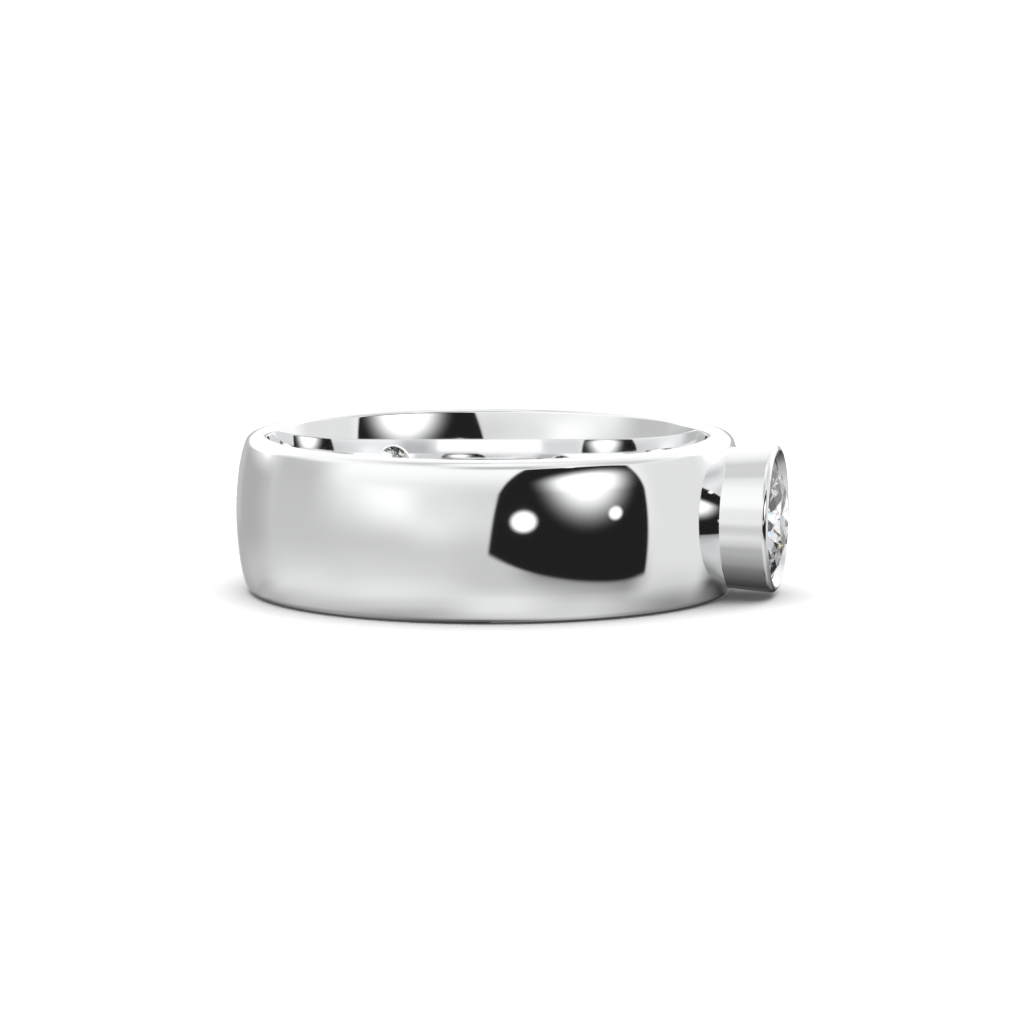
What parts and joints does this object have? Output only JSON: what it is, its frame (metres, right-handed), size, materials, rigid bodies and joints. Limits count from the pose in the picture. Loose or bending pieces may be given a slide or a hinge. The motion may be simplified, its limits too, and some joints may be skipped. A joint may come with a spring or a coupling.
{
  "type": "bezel set ring",
  "caption": "Wide domed white metal ring with a comfort-fit finger hole and a round brilliant in a raised, slightly flared bezel cup.",
  "frame": {"origin": "centre of the finger hole, halfway across the band's width", "axes": "+Z along the finger, upwards as the ring lies on its side; +X out through the middle of the stone"},
  "size_m": [0.0211, 0.0194, 0.006],
  "materials": {
    "white_metal": "mirror polished precious white metal",
    "clear_stone": "polished facets of a colourless brilliant"
  },
  "bodies": {
    "root": {"band_with_bezel": "white_metal", "stone": "clear_stone"}
  },
  "joints": []
}
